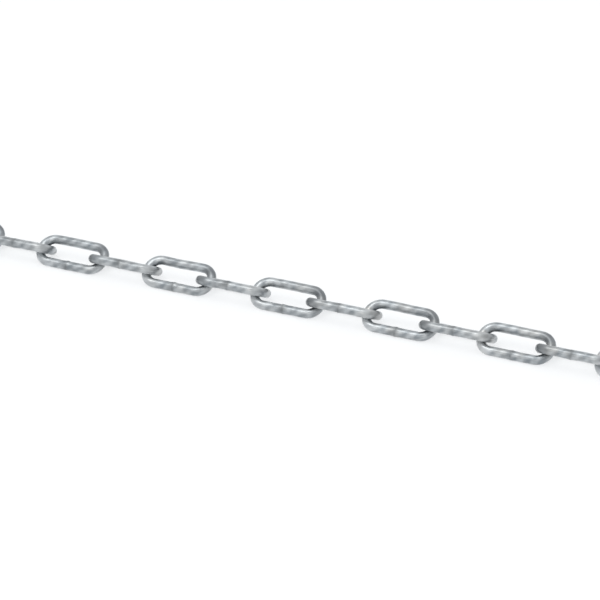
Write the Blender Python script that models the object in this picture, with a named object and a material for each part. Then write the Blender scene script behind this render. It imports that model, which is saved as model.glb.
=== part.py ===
# A metre of long-link welded steel chain, laid out straight on a level floor.
# Units are metres. The chain runs along X, and Z is up.
# Each link leans on its lower bar, and neighbours lean opposite ways.
import math

import bpy

LINK_COUNT = 19
MIDDLE_LINK = (LINK_COUNT + 1) // 2
WIRE_DIAMETER = 0.008
INNER_LENGTH = 0.052
INNER_WIDTH = 0.016
BOW_RADIUS = 0.0108
LEAN = math.radians(30.0)
# Distance between the centres of neighbouring links: less than INNER_LENGTH by the gap at the contact.
CHAIN_PITCH = 0.05145
# Each link swings in its own plane, round a point this far from the middle of the link that it hangs on.
SWING_REACH = 0.0333

# The round wire has twelve flat sides with the area of the true circle.
WIRE_SIDES = 12
SECTION_RADIUS = 0.5 * WIRE_DIAMETER * math.sqrt(
    2.0 * math.pi / (WIRE_SIDES * math.sin(2.0 * math.pi / WIRE_SIDES))
)
FLAT_RADIUS = SECTION_RADIUS * math.cos(math.pi / WIRE_SIDES)
QUARTER_STEPS = 5

# The butt weld swells the middle of one bar, mostly towards the eye.
WELD_RISE = 0.00015
WELD_HALF_TOP = 0.0010
WELD_HALF_FOOT = 0.0024

HALF_LENGTH = 0.5 * (INNER_LENGTH + WIRE_DIAMETER)
HALF_WIDTH = 0.5 * (INNER_WIDTH + WIRE_DIAMETER)
AXIS_HEIGHT = HALF_WIDTH * math.sin(LEAN) + FLAT_RADIUS
# Moving the weld inward by this much keeps the flat that faces the floor in one plane.
WELD_SHIFT = WELD_RISE / SECTION_RADIUS * FLAT_RADIUS / math.sin(LEAN)

ZINC_COLOUR = (0.66, 0.68, 0.69, 1.0)
ZINC_ROUGHNESS = 0.38
ZINC_METALLIC = 1.0


def clear_scene():
    for item in list(bpy.data.objects):
        bpy.data.objects.remove(item, do_unlink=True)


def make_collection(name):
    collection = bpy.data.collections.new(name)
    bpy.context.scene.collection.children.link(collection)
    return collection


def zinc_material(name):
    material = bpy.data.materials.new(name)
    material.use_nodes = True
    shader = material.node_tree.nodes["Principled BSDF"]
    shader.inputs["Base Color"].default_value = ZINC_COLOUR
    shader.inputs["Roughness"].default_value = ZINC_ROUGHNESS
    shader.inputs["Metallic"].default_value = ZINC_METALLIC
    material.diffuse_color = ZINC_COLOUR
    material.roughness = ZINC_ROUGHNESS
    material.metallic = ZINC_METALLIC
    return material


def quarter_bow(side_x, side_y):
    """Points of one rounded corner, from the crown's flat to the bar, as (x, y, swell)."""
    centre_x = side_x * (HALF_LENGTH - BOW_RADIUS)
    centre_y = side_y * (HALF_WIDTH - BOW_RADIUS)
    points = []
    for step in range(QUARTER_STEPS + 1):
        angle = 0.5 * math.pi * step / QUARTER_STEPS
        x = centre_x + side_x * BOW_RADIUS * math.cos(angle)
        y = centre_y + side_y * BOW_RADIUS * math.sin(angle)
        points.append((x, y, 1.0))
    return points


def weld_swell():
    """Points along the near bar's middle, where the two ends of the wire were welded."""
    swollen = 1.0 + WELD_RISE / SECTION_RADIUS
    near_y = -HALF_WIDTH
    return [
        (-WELD_HALF_FOOT, near_y, 1.0),
        (-WELD_HALF_TOP, near_y + WELD_SHIFT, swollen),
        (WELD_HALF_TOP, near_y + WELD_SHIFT, swollen),
        (WELD_HALF_FOOT, near_y, 1.0),
    ]


def link_points():
    """The closed centre line of one link in its own XY plane, anticlockwise."""
    points = weld_swell()
    points += reversed(quarter_bow(1, -1))
    points += quarter_bow(1, 1)
    points += reversed(quarter_bow(-1, 1))
    points += quarter_bow(-1, -1)
    return points


def link_curve():
    """One link: a closed wire whose section has a flat facing straight inward."""
    curve = bpy.data.curves.new("link_wire", "CURVE")
    curve.dimensions = "3D"
    curve.twist_mode = "Z_UP"
    curve.bevel_mode = "ROUND"
    curve.bevel_depth = SECTION_RADIUS
    curve.bevel_resolution = WIRE_SIDES // 2 - 2
    curve.use_fill_caps = False
    curve.resolution_u = 1
    curve.render_resolution_u = 0
    points = link_points()
    spline = curve.splines.new("POLY")
    spline.points.add(len(points) - 1)
    for place, (x, y, swell) in zip(spline.points, points):
        place.co = (x, y, 0.0, 1.0)
        place.radius = swell
        place.tilt = math.pi / WIRE_SIDES
    spline.use_cyclic_u = True
    spline.use_smooth = False
    return curve


def lean_of(number):
    """Odd links lean up towards the back, and even links lean up towards the front."""
    return LEAN if number % 2 else -LEAN


def add_link(number, wire, parent, collection):
    """One link, in its parent's XY plane."""
    chain_link = bpy.data.objects.new(f"link_{number:02d}", wire.copy())
    chain_link.data.materials.append(zinc_material(f"zinc_{number:02d}"))
    chain_link.parent = parent
    collection.objects.link(chain_link)
    return chain_link


def add_hinge(number, side, parent, collection):
    """An empty where a link meets the one before it. Its Z axis is square to the new link's plane."""
    hinge = bpy.data.objects.new(f"swing_{number:02d}", None)
    hinge.parent = parent
    hinge.location.x = side * SWING_REACH
    hinge.rotation_euler.x = 2.0 * lean_of(number)
    collection.objects.link(hinge)
    return hinge


def add_arm(side, middle_link, wire, collection):
    """Half of the chain: every link hangs on a hinge in the link before it."""
    parent = middle_link
    for step in range(1, MIDDLE_LINK):
        number = MIDDLE_LINK + side * step
        hinge = add_hinge(number, side, parent, collection)
        parent = add_link(number, wire, hinge, collection)
        parent.location.x = side * (CHAIN_PITCH - SWING_REACH)


def build_chain():
    clear_scene()
    collection = make_collection("steel_chain")
    wire = link_curve()
    middle_link = add_link(MIDDLE_LINK, wire, None, collection)
    middle_link.location.z = AXIS_HEIGHT
    middle_link.rotation_euler.x = lean_of(MIDDLE_LINK)
    for side in (-1, 1):
        add_arm(side, middle_link, wire, collection)
    bpy.data.curves.remove(wire)


build_chain()
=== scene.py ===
from collections import namedtuple
import math

import bpy
import numpy as np
from mathutils import Matrix, Vector


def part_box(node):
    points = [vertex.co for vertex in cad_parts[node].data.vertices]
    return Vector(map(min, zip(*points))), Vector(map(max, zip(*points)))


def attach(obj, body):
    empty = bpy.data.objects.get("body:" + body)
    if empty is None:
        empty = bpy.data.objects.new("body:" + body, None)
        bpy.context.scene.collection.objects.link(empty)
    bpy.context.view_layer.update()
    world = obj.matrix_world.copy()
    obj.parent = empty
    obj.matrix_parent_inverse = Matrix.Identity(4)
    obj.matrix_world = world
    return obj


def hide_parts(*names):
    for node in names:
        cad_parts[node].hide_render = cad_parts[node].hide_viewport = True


# A link, in metres, as in the solids. Its place comes from the frame, and it leans on its lower bar.
# From its weld, in the middle of the near bar, it runs anticlockwise.
WIRE_RADIUS = 0.004
HALF_LENGTH = 0.030
HALF_WIDTH = 0.012
BOW_RADIUS = 0.0108
LEAN = math.radians(30.0)
STRAIGHT_X = HALF_LENGTH - BOW_RADIUS
STRAIGHT_Y = HALF_WIDTH - BOW_RADIUS
BOW_LENGTH = 0.5 * math.pi * BOW_RADIUS
# The two crowns, as shares of the way round.
CROWNS = (0.25, 0.75)

# Mesh density of a link: finer stations near the weld.
SECTION_SIDES = 40
STATION_STEP = 0.0008
WELD_STEP = 0.0002
WELD_ZONE = 0.0045
SHORTEST_STEP = 0.4 * STATION_STEP
ROUNDING = 1e-7

# The butt weld, its thin flash, and the flats that the welding clamps leave.
WELD_RISE = 0.00036
WELD_LENGTH = 0.0021
WELD_SPREAD = 0.35
WELD_OUTSIDE = 0.5
FLASH_RISE = 0.00010
FLASH_LENGTH = 0.00060
FLASH_WANDER = 0.0003
FLASH_TURNS = 2.0
FLASH_EVENNESS = 0.6
FLASH_OUTSIDE = 0.3
CLAMP_PLACE = 0.0085
CLAMP_SPREAD = 0.001
CLAMP_LENGTH = 0.0022
CLAMP_DEPTH = 0.00011
CLAMP_NARROWNESS = 4

# Small faults of form.
BEND_OVAL = 0.022
BEND_BALANCE = 0.6
CONTACT_DEPTH = 0.00010
CONTACT_LENGTH = 0.0035
CONTACT_NARROWNESS = 6
LUMP_HEIGHT = 0.000035
BAR_WAVER = 0.00012

# Unevenness as pairs of waves. A row has the fewest along the link, a number that they stay below,
# and the most round the section. The second wave of a pair swirls the other way round the wire.
LUMP_WAVES = ((9, 16, 2), (14, 24, 3), (22, 38, 4), (30, 48, 5))
BAR_WAVES = ((2, 4, 0), (3, 6, 0))
FLASH_WAVES = ((1, 2, 4), (1, 2, 7), (1, 2, 9))
LEAST_WAVE = 0.5
SECOND_SHARE = 0.5
SECOND_MORE = 2
LUMP_SEED = 100
SIDEWAYS_SEED = 300
LIFT_SEED = 500
WELD_SEED = 700
FLASH_SEED = 900

# Marks on the zinc: painted shade and painted light on the corners, real wear and the weld seam, and a
# weld burn with painted shade in it. The four corners of a link are given anticlockwise from the near
# right one.
# Painted shade on some corners of each link.
ODD_PAINTED_SHADE = (0.0, 1.0, 0.0, 0.0)
EVEN_PAINTED_SHADE = (0.0, 0.1, 0.3, 1.0)
PAINTED_SHADE_LENGTH = 0.0075
# Painted light on an odd link's corners, lightest on the near left one.
ODD_PAINTED_LIGHT = (0.15, 0.0, 0.2, 1.0)
PAINTED_LIGHT_LENGTH = 0.0110
PAINTED_LIGHT_OUTSIDE = 0.35
# An even link has painted light where it comes over the next one.
CROSSING_PAINTED_LIGHT = 0.40
CROSSING_PLACE = 0.0230
CROSSING_LENGTH = 0.0060
WORN_LENGTH = 0.006
WORN_OUTSIDE = 0.3
SEAM_LENGTH = 0.0011
# A dark patch beside the weld, partly the burn that the weld's heat left and partly painted shade, which
# makes it fainter on odd links than on even ones. It is strongest on two opposite sides of the wire.
BURN_AND_SHADE_PLACE = -0.0014
BURN_AND_SHADE_LENGTH = 0.0042
BURN_AND_SHADE_ANGLE = 2.27
BURN_AND_SHADE_BESIDE = 0.35
ODD_BURN_AND_SHADE = 0.75
EVEN_BURN_AND_SHADE = 1.0
BAND_COUNT = 14
BAND_SLANT = 3.0
BAND_SHIFT = 0.5

# Noise in the zinc: scale, detail and seed.
MOTTLE = (300.0, 3.0, 0.0)
PATCH = (135.0, 1.5, 5.0)
CLOUD = (70.0, 2.0, 11.0)
GRAIN = (2600.0, 2.0, 23.0)
LINK_SEED_STEP = 3.7

# Colours of the zinc, plain and in its marks, among them painted shade, painted light and a painted warm
# reflection.
DARK_ZINC = (0.200, 0.222, 0.240, 1.0)
LIGHT_ZINC = (0.435, 0.461, 0.477, 1.0)
# A warm tint: painted warm reflection over the whole link, stronger where the crowns are worn.
WEAR_AND_WARM_REFLECTION_ZINC = (0.54, 0.505, 0.46, 1.0)
# Painted shade on the corners.
PAINTED_SHADE_ZINC = (0.13, 0.14, 0.15, 1.0)
# Painted light on the corners and where links cross.
ODD_PAINTED_LIGHT_ZINC = (0.80, 0.82, 0.83, 1.0)
EVEN_PAINTED_LIGHT_ZINC = (0.62, 0.625, 0.615, 1.0)
# The weld burn, darkened further as painted shade.
SCORCHED_AND_SHADED_ZINC = (0.15, 0.16, 0.165, 1.0)
SEAM_COLOUR = (0.10, 0.105, 0.11, 1.0)

# How noise and marks mix: each range of noise, and what it is spread to.
WHOLE = (0.0, 1.0)
PATCH_SHARE = 0.75
BAND_TONES = (-0.09, 0.09)
TONE_RANGE = (0.36, 0.64)
# Where the painted warm reflection shows, and how strong it grows from link to link.
WARM_REFLECTION_RANGE = (0.42, 0.62)
LEAST_WARM_REFLECTION = 0.10
WARM_REFLECTION_PER_LINK = 0.035
WARM_REFLECTION_EVERYWHERE = 0.45
# How strong the painted shade on the corners is.
PAINTED_SHADE_RANGE = (0.35, 0.65)
PAINTED_SHADE_SHARES = (0.60, 0.95)
# How strong the painted light is.
PAINTED_LIGHT_SHARE = 0.8
MOTTLE_RANGE = (0.3, 0.7)
SCORCH_AND_SHADE_SHARES = (0.55, 0.90)
SEAM_SHARES = (0.10, 0.40)
ROUGHNESSES = (0.30, 0.44)
WELD_ROUGHNESS = 0.15
COAT_WEIGHT = 0.7
COAT_ROUGHNESS = 0.25
GRAIN_SHARE = 0.25
BUMP_STRENGTH = 0.35
BUMP_DISTANCE = 0.00012

# The floor, a pale translucent sheet.
FLOOR_HALF_SIDE = 12.0
FLOOR_COLOUR = (0.93, 0.93, 0.93, 1.0)
FLOOR_ROUGHNESS = 0.9
FLOOR_CLEARNESS = 0.70

# The surroundings: ranges of direction, and the brightness at their two ends.
LEFT_RANGE = (-0.80, -0.38)
LEFT_BRIGHTNESS = (0.85, 1.0)
RIGHT_RANGE = (0.20, 0.60)
RIGHT_BRIGHTNESS = (1.0, 0.75)
HEIGHT_RANGE = (0.0, 0.6)
HEIGHT_BRIGHTNESS = (0.95, 1.05)
HORIZON_RANGE = (-0.03, 0.03)
BELOW_BRIGHTNESS = (1.06, 0.0)
SKY_COLOUR = (0.97, 0.985, 1.0, 1.0)

# Soft lights, aimed at the origin: name, place, size, power and colour.
LIGHTS = (
    ("key", (-0.6, -0.6, 2.4), (1.2, 1.6), 12.0, (1.0, 0.99, 0.97)),
    ("front", (-0.2, -2.3, 1.3), (1.4, 1.0), 4.0, (1.0, 0.94, 0.87)),
)

# The camera, from the photograph. The middle of the target link falls on the target pixel, and at
# its distance a chain pitch that is seen square on covers so many pixels.
VIEW_AZIMUTH = math.radians(22.80)
VIEW_ELEVATION = math.radians(28.52)
VIEW_DISTANCE = 2.53
PIXELS_PER_PITCH = 60.18
PICTURE_SIDE = 600
TARGET_NODE = "link_09"
NEXT_NODE = "link_10"
TARGET_PIXEL = (288.23, 297.71)
SENSOR_WIDTH = 36.0
FARTHEST_VIEW = 50.0

# Places on a link's wire, with a row for each station along it and a column for each side round it.
# What is the same all round has one column, and what is the same all along has one row.
# The total is the length of the wire.
Places = namedtuple("Places", "along around inner bend from_weld from_seam total")


def link_legs():
    """Straights and bends of one link: kind, length, start or centre, and heading or first angle."""
    return [
        ("line", STRAIGHT_X, (0.0, -HALF_WIDTH), 0.0),
        ("turn", BOW_LENGTH, (STRAIGHT_X, -STRAIGHT_Y), -0.5 * math.pi),
        ("line", 2.0 * STRAIGHT_Y, (HALF_LENGTH, -STRAIGHT_Y), 0.5 * math.pi),
        ("turn", BOW_LENGTH, (STRAIGHT_X, STRAIGHT_Y), 0.0),
        ("line", 2.0 * STRAIGHT_X, (STRAIGHT_X, HALF_WIDTH), math.pi),
        ("turn", BOW_LENGTH, (-STRAIGHT_X, STRAIGHT_Y), 0.5 * math.pi),
        ("line", 2.0 * STRAIGHT_Y, (-HALF_LENGTH, STRAIGHT_Y), 1.5 * math.pi),
        ("turn", BOW_LENGTH, (-STRAIGHT_X, -STRAIGHT_Y), math.pi),
        ("line", STRAIGHT_X, (-STRAIGHT_X, -HALF_WIDTH), 0.0),
    ]


def centre_line():
    """Stations round one link as (x, y, inward x, inward y, distance along, bend), and its length."""
    legs = link_legs()
    total = sum(leg[1] for leg in legs)
    stations = []
    along = 0.0
    for kind, length, start, heading in legs:
        for place in leg_places(length, along, total):
            if kind == "line":
                x = start[0] + place * math.cos(heading)
                y = start[1] + place * math.sin(heading)
                inward = (-math.sin(heading), math.cos(heading))
                bend = 0.0
            else:
                angle = heading + place / BOW_RADIUS
                x = start[0] + BOW_RADIUS * math.cos(angle)
                y = start[1] + BOW_RADIUS * math.sin(angle)
                inward = (-math.cos(angle), -math.sin(angle))
                bend = math.sin(math.pi * place / length)
            stations.append((x, y, inward[0], inward[1], along + place, bend))
        along += length
    return np.array(stations), total


def leg_places(length, along, total):
    """Distances of the stations in one leg, closer together near the weld."""
    places = []
    place = 0.0
    while place < length - ROUNDING:
        places.append(place)
        from_weld = min(along + place, total - along - place)
        place += WELD_STEP if from_weld < WELD_ZONE else STATION_STEP
    crowded = len(places) > 1 and length - places[-1] < SHORTEST_STEP
    if crowded and total - along - length > WELD_ZONE:
        places.pop()
    return places


def ripple(seed, along, around, waves, total):
    """A smooth seeded unevenness over the wire, about -1 to 1, that closes on itself."""
    rng = np.random.default_rng(seed)
    result = np.zeros(np.broadcast(along, around).shape)
    weight = 0.0
    for low, high, turns in waves:
        count = rng.integers(low, high)
        turn = rng.integers(0, turns + 1)
        phase = rng.uniform(0.0, 2.0 * math.pi, 2)
        size = LEAST_WAVE + rng.random()
        swirl = turn * around
        result += size * np.sin(2.0 * math.pi * count * along / total + phase[0] + swirl)
        second = 2.0 * math.pi * (count + SECOND_MORE) * along / total
        result += SECOND_SHARE * size * np.sin(second + phase[1] - swirl)
        weight += size
    return result / weight


def hump(distance, width):
    """A smooth rise to 1 where the distance is 0."""
    return np.exp(-((distance / width) ** 2))


def fade_out(inner, outside):
    """1 on the inside of the link, and as strong as outside says on its outside."""
    return outside + (1.0 - outside) * inner


def corner_marks(along, total, weights, width):
    """A patch on each rounded corner, as strong as its weight."""
    first = STRAIGHT_X + 0.5 * BOW_LENGTH
    second = first + BOW_LENGTH + 2.0 * STRAIGHT_Y
    corners = (first, second, total - second, total - first)
    patches = [weight * hump(along - place, width) for place, weight in zip(corners, weights)]
    return np.maximum.reduce(patches)


def wire_places(number, along, bend, total):
    """Where each vertex is on the wire, and how strongly the wire bends there."""
    # The section's angle is 0 on the inside of the link, and a quarter turn on its upper side.
    around = (2.0 * math.pi * np.arange(SECTION_SIDES) / SECTION_SIDES)[None, :]
    # The distance from the weld is below 0 on the half of the link that runs up to it.
    from_weld = np.where(along > 0.5 * total, along - total, along)
    return Places(
        along=along,
        around=around,
        inner=0.5 + 0.5 * np.cos(around),
        bend=bend,
        from_weld=from_weld,
        from_seam=from_weld - FLASH_WANDER * np.sin(around * FLASH_TURNS + number),
        total=total,
    )


def wire_radius(number, places):
    """The wire's radius everywhere, with its weld, clamp flats, bends, contacts and lumps."""
    rng = np.random.default_rng(WELD_SEED + number)
    rise = WELD_RISE * (1.0 + WELD_SPREAD * rng.uniform(-1.0, 1.0))
    radius = np.full(places.from_seam.shape, WIRE_RADIUS)
    radius += rise * hump(places.from_weld, WELD_LENGTH) * fade_out(places.inner, WELD_OUTSIDE)
    uneven = ripple(FLASH_SEED + number, 0.0, places.around, FLASH_WAVES, places.total)
    lip = FLASH_EVENNESS + (1.0 - FLASH_EVENNESS) * uneven
    flash = FLASH_RISE * lip * hump(places.from_seam, FLASH_LENGTH)
    radius += flash * fade_out(places.inner, FLASH_OUTSIDE)
    for side in (-1.0, 1.0):
        clamp = side * (CLAMP_PLACE + CLAMP_SPREAD * rng.uniform(-1.0, 1.0))
        flat = hump(places.from_weld - clamp, CLAMP_LENGTH) * CLAMP_DEPTH
        radius -= flat * np.sin(places.around) ** CLAMP_NARROWNESS
    radius *= 1.0 - BEND_OVAL * places.bend * (BEND_BALANCE - places.inner)
    for crown in CROWNS:
        contact = hump(places.along - crown * places.total, CONTACT_LENGTH) * CONTACT_DEPTH
        radius -= contact * places.inner ** CONTACT_NARROWNESS
    lumps = ripple(LUMP_SEED + number, places.along, places.around, LUMP_WAVES, places.total)
    return radius + LUMP_HEIGHT * lumps


def link_marks(number, places):
    """How strong each mark on the zinc is, everywhere on the wire: painted shade, painted light, the
    weld burn with painted shade in it, wear, the seam and the bands.
    """
    odd = number % 2 == 1
    along, total = places.along, places.total
    # Painted light on an odd link's corners, and where an even link comes over the next one.
    if odd:
        painted_light = corner_marks(along, total, ODD_PAINTED_LIGHT, PAINTED_LIGHT_LENGTH)
        painted_light = painted_light * fade_out(places.inner, PAINTED_LIGHT_OUTSIDE)
    else:
        painted_light = CROSSING_PAINTED_LIGHT * hump(along - CROSSING_PLACE, CROSSING_LENGTH)
    # The weld burn, with painted shade in it.
    two_sided = BURN_AND_SHADE_BESIDE + (1.0 - BURN_AND_SHADE_BESIDE) * np.cos(places.around - BURN_AND_SHADE_ANGLE) ** 2
    burn_and_shade = hump(places.from_weld - BURN_AND_SHADE_PLACE, BURN_AND_SHADE_LENGTH) * two_sided
    crowns = np.maximum.reduce([hump(along - crown * total, WORN_LENGTH) for crown in CROWNS])
    slant = 2.0 * math.pi * BAND_COUNT * along / total + BAND_SLANT * places.around
    marks = {
        "weld": hump(places.from_seam, SEAM_LENGTH),
        "burn_and_shade": burn_and_shade * (ODD_BURN_AND_SHADE if odd else EVEN_BURN_AND_SHADE),
        "painted_shade": corner_marks(along, total, ODD_PAINTED_SHADE if odd else EVEN_PAINTED_SHADE, PAINTED_SHADE_LENGTH),
        "painted_light": painted_light,
        "worn": crowns * fade_out(places.inner, WORN_OUTSIDE),
        "band": 0.5 + 0.5 * np.sin(slant + BAND_SHIFT * number),
    }
    shape = places.from_seam.shape
    return {name: np.broadcast_to(value, shape).reshape(-1) for name, value in marks.items()}


def link_shape(number):
    """Vertices of one link in its own plane, ring by ring, how many rings, and its marks."""
    stations, total = centre_line()
    centre_x, centre_y, inward_x, inward_y, along, bend = (column[:, None] for column in stations.T)
    places = wire_places(number, along, bend, total)
    radius = wire_radius(number, places)
    sideways = BAR_WAVER * ripple(SIDEWAYS_SEED + number, along, 0.0, BAR_WAVES, total)
    lift = BAR_WAVER * ripple(LIFT_SEED + number, along, 0.0, BAR_WAVES, total)
    across = radius * np.cos(places.around) + sideways
    x = centre_x + across * inward_x
    y = centre_y + across * inward_y
    z = radius * np.sin(places.around) + lift
    vertices = np.stack([x, y, z], axis=-1).reshape(-1, 3)
    return vertices, len(stations), link_marks(number, places)


def ring_faces(rings):
    """Four-sided faces between each ring of vertices and the next, round to the first."""
    faces = []
    for ring in range(rings):
        following = (ring + 1) % rings
        for side in range(SECTION_SIDES):
            beside = (side + 1) % SECTION_SIDES
            faces.append((
                ring * SECTION_SIDES + side,
                ring * SECTION_SIDES + beside,
                following * SECTION_SIDES + beside,
                following * SECTION_SIDES + side,
            ))
    return faces


def link_mesh(number):
    vertices, rings, marks = link_shape(number)
    faces = ring_faces(rings)
    mesh = bpy.data.meshes.new(f"chain_link_{number:02d}")
    mesh.from_pydata(vertices.tolist(), [], faces)
    for name, values in marks.items():
        attribute = mesh.attributes.new(name, "FLOAT", "POINT")
        attribute.data.foreach_set("value", values.astype(np.float32))
    mesh.polygons.foreach_set("use_smooth", [True] * len(faces))
    mesh.update()
    return mesh


def add_node(tree, kind, **settings):
    node = tree.nodes.new(kind)
    for name, value in settings.items():
        setattr(node, name, value)
    return node


def mark_value(tree, name):
    return add_node(tree, "ShaderNodeAttribute", attribute_name=name).outputs["Fac"]


def noise(tree, coords, kind, number):
    scale, detail, seed = kind
    node = add_node(tree, "ShaderNodeTexNoise", noise_dimensions="4D")
    node.inputs["Scale"].default_value = scale
    node.inputs["Detail"].default_value = detail
    node.inputs["W"].default_value = LINK_SEED_STEP * number + seed
    tree.links.new(coords, node.inputs["Vector"])
    return node.outputs["Fac"]


def fill(tree, socket, value):
    """Links a node's output to the socket, or sets the socket to a number or colour."""
    if isinstance(value, bpy.types.NodeSocket):
        tree.links.new(value, socket)
    else:
        socket.default_value = value


def math_node(tree, operation, first, second):
    node = add_node(tree, "ShaderNodeMath", operation=operation)
    fill(tree, node.inputs[0], first)
    fill(tree, node.inputs[1], second)
    return node.outputs[0]


def plus(tree, first, second):
    return math_node(tree, "ADD", first, second)


def times(tree, first, second):
    return math_node(tree, "MULTIPLY", first, second)


def spread(tree, value, source, target):
    """The value, with one range of numbers spread to another and held at its ends."""
    node = add_node(tree, "ShaderNodeMapRange")
    fill(tree, node.inputs["Value"], value)
    for name, number in zip(("From Min", "From Max", "To Min", "To Max"), source + target):
        node.inputs[name].default_value = number
    return node.outputs["Result"]


def lay_colour(tree, under, colour, strength):
    """A colour laid over another, as strong as strength says."""
    node = add_node(tree, "ShaderNodeMix", data_type="RGBA")
    # The node has sockets for every kind of value: these are its factor, its two colours and its result.
    fill(tree, node.inputs[0], strength)
    fill(tree, node.inputs[6], under)
    fill(tree, node.inputs[7], colour)
    return node.outputs[2]


def zinc_colour(tree, number, mottle, patch, cloud):
    """Mottled grey with faint slanting bands, and laid over it in turn: a warm tint that is painted warm
    reflection and stronger on worn crowns, painted shade and painted light on the corners, the weld burn
    with painted shade in it, and the weld seam.
    """
    odd = number % 2 == 1
    mixed = plus(tree, times(tree, patch, PATCH_SHARE), times(tree, mottle, 1.0 - PATCH_SHARE))
    banded = plus(tree, mixed, spread(tree, mark_value(tree, "band"), WHOLE, BAND_TONES))
    colour = lay_colour(tree, DARK_ZINC, LIGHT_ZINC, spread(tree, banded, TONE_RANGE, WHOLE))

    # Painted warm reflection, growing from link to link and stronger on the worn crowns.
    warm_reflection = spread(tree, cloud, WARM_REFLECTION_RANGE, (0.0, LEAST_WARM_REFLECTION + WARM_REFLECTION_PER_LINK * number))
    wear_and_warm_reflection = times(tree, warm_reflection, plus(tree, mark_value(tree, "worn"), WARM_REFLECTION_EVERYWHERE))
    colour = lay_colour(tree, colour, WEAR_AND_WARM_REFLECTION_ZINC, wear_and_warm_reflection)

    # Painted shade on the corners.
    painted_shade = times(tree, mark_value(tree, "painted_shade"), spread(tree, cloud, PAINTED_SHADE_RANGE, PAINTED_SHADE_SHARES))
    colour = lay_colour(tree, colour, PAINTED_SHADE_ZINC, painted_shade)

    # Painted light on the corners and crossings.
    painted_light = times(tree, mark_value(tree, "painted_light"), PAINTED_LIGHT_SHARE)
    colour = lay_colour(tree, colour, ODD_PAINTED_LIGHT_ZINC if odd else EVEN_PAINTED_LIGHT_ZINC, painted_light)

    # The weld burn, with painted shade in it.
    scorch_and_shade = times(tree, mark_value(tree, "burn_and_shade"), spread(tree, mottle, MOTTLE_RANGE, SCORCH_AND_SHADE_SHARES))
    colour = lay_colour(tree, colour, SCORCHED_AND_SHADED_ZINC, scorch_and_shade)

    seam = times(tree, mark_value(tree, "weld"), spread(tree, mottle, MOTTLE_RANGE, SEAM_SHARES))
    return lay_colour(tree, colour, SEAM_COLOUR, seam)


def zinc_roughness(tree, mottle):
    """Satin, a little uneven, and rougher at the weld."""
    rough = spread(tree, mottle, MOTTLE_RANGE, ROUGHNESSES)
    return plus(tree, rough, times(tree, mark_value(tree, "weld"), WELD_ROUGHNESS))


def zinc_bump(tree, mottle, grain):
    """Shallow dents, and a finer grain on them."""
    bump = add_node(tree, "ShaderNodeBump")
    bump.inputs["Strength"].default_value = BUMP_STRENGTH
    bump.inputs["Distance"].default_value = BUMP_DISTANCE
    tree.links.new(plus(tree, times(tree, grain, GRAIN_SHARE), mottle), bump.inputs["Height"])
    return bump.outputs["Normal"]


def zinc_material(number):
    """Satin zinc for one link. Each has its own noise, and their painted warm reflection grows from left
    to right.
    """
    material = bpy.data.materials.new(f"zinc_{number:02d}")
    material.use_nodes = True
    tree = material.node_tree
    coords = add_node(tree, "ShaderNodeTexCoord").outputs["Object"]
    kinds = (MOTTLE, PATCH, CLOUD, GRAIN)
    mottle, patch, cloud, grain = (noise(tree, coords, kind, number) for kind in kinds)
    shader = tree.nodes["Principled BSDF"]
    tree.links.new(zinc_colour(tree, number, mottle, patch, cloud), shader.inputs["Base Color"])
    tree.links.new(zinc_roughness(tree, mottle), shader.inputs["Roughness"])
    tree.links.new(zinc_bump(tree, mottle, grain), shader.inputs["Normal"])
    shader.inputs["Metallic"].default_value = 1.0
    shader.inputs["Coat Weight"].default_value = COAT_WEIGHT
    shader.inputs["Coat Roughness"].default_value = COAT_ROUGHNESS
    return material


def middle(node):
    """The middle of a solid's box, which is the middle of its link."""
    low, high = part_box(node)
    return 0.5 * (low + high)


def dress_link(number, node):
    """One link over its solid. Odd ones lean up towards the back, even ones towards the front."""
    piece = bpy.data.objects.new(f"chain_link_{number:02d}", link_mesh(number))
    piece.data.materials.append(zinc_material(number))
    piece.location = middle(node)
    piece.data.transform(Matrix.Rotation(LEAN if number % 2 else -LEAN, 4, "X"))
    bpy.context.scene.collection.objects.link(piece)
    bpy.context.view_layer.update()
    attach(piece, node)
    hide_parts(node)


def floor_material():
    """Pale translucent sheet: shadows on it are light, and a link that swings below it still shows."""
    material = bpy.data.materials.new("pale_floor")
    material.use_nodes = True
    tree = material.node_tree
    shader = tree.nodes["Principled BSDF"]
    shader.inputs["Base Color"].default_value = FLOOR_COLOUR
    shader.inputs["Roughness"].default_value = FLOOR_ROUGHNESS
    shader.inputs["Specular IOR Level"].default_value = 0.0
    clear = add_node(tree, "ShaderNodeBsdfTransparent")
    blend = add_node(tree, "ShaderNodeMixShader")
    blend.inputs[0].default_value = FLOOR_CLEARNESS
    tree.links.new(shader.outputs[0], blend.inputs[1])
    tree.links.new(clear.outputs[0], blend.inputs[2])
    tree.links.new(blend.outputs[0], tree.nodes["Material Output"].inputs["Surface"])
    return material


def add_floor():
    mesh = bpy.data.meshes.new("floor")
    signs = ((-1, -1), (1, -1), (1, 1), (-1, 1))
    corners = [(x * FLOOR_HALF_SIDE, y * FLOOR_HALF_SIDE, 0.0) for x, y in signs]
    mesh.from_pydata(corners, [], [(0, 1, 2, 3)])
    mesh.materials.append(floor_material())
    floor = bpy.data.objects.new("floor", mesh)
    bpy.context.scene.collection.objects.link(floor)


def add_area(name, place, size, power, colour):
    light = bpy.data.lights.new(name, "AREA")
    light.shape = "RECTANGLE"
    light.size, light.size_y = size
    light.energy = power
    light.color = colour
    lamp = bpy.data.objects.new(name, light)
    lamp.location = place
    lamp.rotation_euler = (-Vector(place)).to_track_quat("-Z", "Y").to_euler()
    bpy.context.scene.collection.objects.link(lamp)


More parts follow.
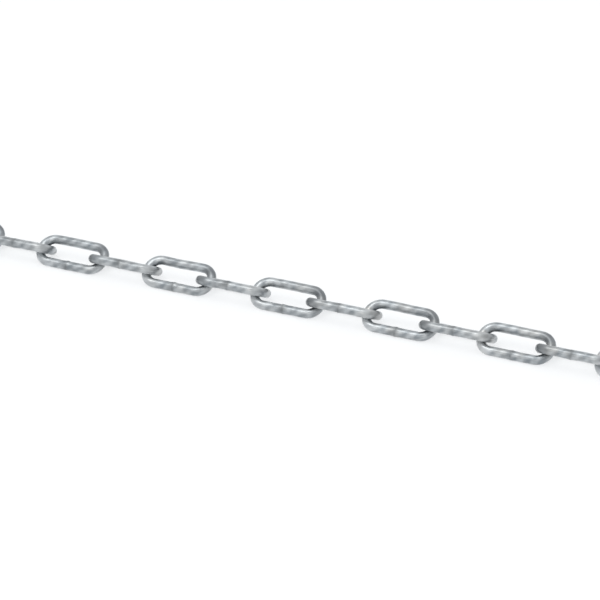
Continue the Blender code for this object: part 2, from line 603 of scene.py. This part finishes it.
def add_world():
    """Pale surroundings, darker towards the chain's two ends, and evenly pale below the floor."""
    world = bpy.data.worlds.new("studio")
    bpy.context.scene.world = world
    world.use_nodes = True
    tree = world.node_tree
    parts = add_node(tree, "ShaderNodeSeparateXYZ")
    tree.links.new(add_node(tree, "ShaderNodeTexCoord").outputs["Generated"], parts.inputs[0])
    sideways, upward = parts.outputs["X"], parts.outputs["Z"]
    left = spread(tree, sideways, LEFT_RANGE, LEFT_BRIGHTNESS)
    right = spread(tree, sideways, RIGHT_RANGE, RIGHT_BRIGHTNESS)
    height = spread(tree, upward, HEIGHT_RANGE, HEIGHT_BRIGHTNESS)
    above = times(tree, times(tree, left, right), height)
    above = times(tree, above, spread(tree, upward, HORIZON_RANGE, WHOLE))
    below = spread(tree, upward, HORIZON_RANGE, BELOW_BRIGHTNESS)
    background = tree.nodes["Background"]
    background.inputs["Color"].default_value = SKY_COLOUR
    tree.links.new(plus(tree, below, above), background.inputs["Strength"])


def add_camera():
    """The photograph's view, with the middle of the target link on the target pixel."""
    sin_a, cos_a = math.sin(VIEW_AZIMUTH), math.cos(VIEW_AZIMUTH)
    sin_e, cos_e = math.sin(VIEW_ELEVATION), math.cos(VIEW_ELEVATION)
    back = Vector((sin_a * cos_e, -cos_a * cos_e, sin_e))
    right = Vector((cos_a, sin_a, 0.0))
    up = back.cross(right)
    target = middle(TARGET_NODE)
    metres_per_pixel = (middle(NEXT_NODE).x - target.x) / PIXELS_PER_PITCH
    half = 0.5 * PICTURE_SIDE
    place = target + back * VIEW_DISTANCE
    place -= right * (TARGET_PIXEL[0] - half) * metres_per_pixel
    place += up * (TARGET_PIXEL[1] - half) * metres_per_pixel
    camera = bpy.data.cameras.new("camera")
    camera.sensor_width = SENSOR_WIDTH
    camera.lens = SENSOR_WIDTH * VIEW_DISTANCE / (metres_per_pixel * PICTURE_SIDE)
    camera.clip_end = FARTHEST_VIEW
    holder = bpy.data.objects.new("camera", camera)
    turn = Matrix((right, up, back)).transposed().to_4x4()
    holder.matrix_world = Matrix.Translation(place) @ turn
    bpy.context.scene.collection.objects.link(holder)
    bpy.context.scene.camera = holder


def set_colours():
    """The render shows colours as they are, with no film look over them."""
    bpy.context.scene.view_settings.view_transform = "Standard"
    bpy.context.scene.view_settings.look = "None"
    bpy.context.scene.view_settings.exposure = 0.0


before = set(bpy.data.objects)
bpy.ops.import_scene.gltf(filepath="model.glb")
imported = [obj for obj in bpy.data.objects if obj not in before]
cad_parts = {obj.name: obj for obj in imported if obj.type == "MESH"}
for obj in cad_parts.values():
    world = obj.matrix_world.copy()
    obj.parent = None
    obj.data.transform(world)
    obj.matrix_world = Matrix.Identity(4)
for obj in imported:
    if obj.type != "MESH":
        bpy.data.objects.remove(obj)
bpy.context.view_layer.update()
for link_number, link_node in enumerate(sorted(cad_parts), start=1):
    dress_link(link_number, link_node)
add_floor()
add_world()
for light_facts in LIGHTS:
    add_area(*light_facts)
add_camera()
set_colours()
